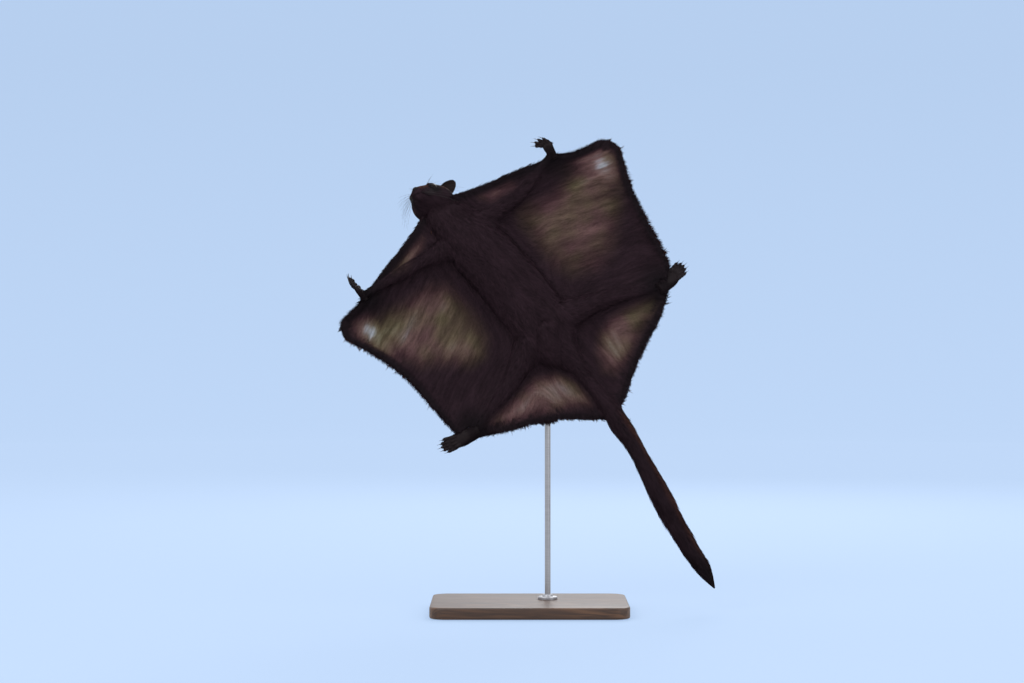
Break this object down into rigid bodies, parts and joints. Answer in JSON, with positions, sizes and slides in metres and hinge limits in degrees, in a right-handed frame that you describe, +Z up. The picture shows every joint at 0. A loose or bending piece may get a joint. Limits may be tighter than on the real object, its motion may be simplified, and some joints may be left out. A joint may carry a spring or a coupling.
{
  "type": "giant flying squirrel model on a display stand",
  "caption": "Life-size giant flying squirrel in a banked glide, limbs and gliding membrane spread, tail trailing, held up by a flat wooden base and a steel rod.",
  "frame": {"origin": "centre of the underside of the stand's base", "axes": "+Z up, -Y the way the belly faces, +X to the right as the belly is looked at"},
  "size_m": [0.6513, 0.23, 0.8214],
  "materials": {
    "fur": "dense dark chestnut fur",
    "membrane": "thinly furred skin, grey-brown",
    "paw": "short black fur over bare pads",
    "ear": "thin dark skin with short fur",
    "eye": "wet glossy black-brown",
    "stand_wood": "dark stained, satin",
    "stand_steel": "brushed"
  },
  "bodies": {
    "root": {"head": "fur", "neck": "fur", "torso": "fur", "tail_base": "fur", "tail_brush": "fur", "eye_left": "eye", "eye_right": "eye", "ear_left": "ear", "ear_right": "ear", "upper_arm_left": "fur", "upper_arm_right": "fur", "forearm_left": "fur", "forearm_right": "fur", "hand_left": "paw", "hand_right": "paw", "thigh_left": "fur", "thigh_right": "fur", "shank_left": "fur", "shank_right": "fur", "foot_left": "paw", "foot_right": "paw", "propatagium_left": "membrane", "propatagium_right": "membrane", "patagium_left": "membrane", "patagium_right": "membrane", "uropatagium_left": "membrane", "uropatagium_right": "membrane", "stand_base": "stand_wood", "stand_rod": "stand_steel", "stand_collar": "stand_steel"}
  },
  "joints": []
}
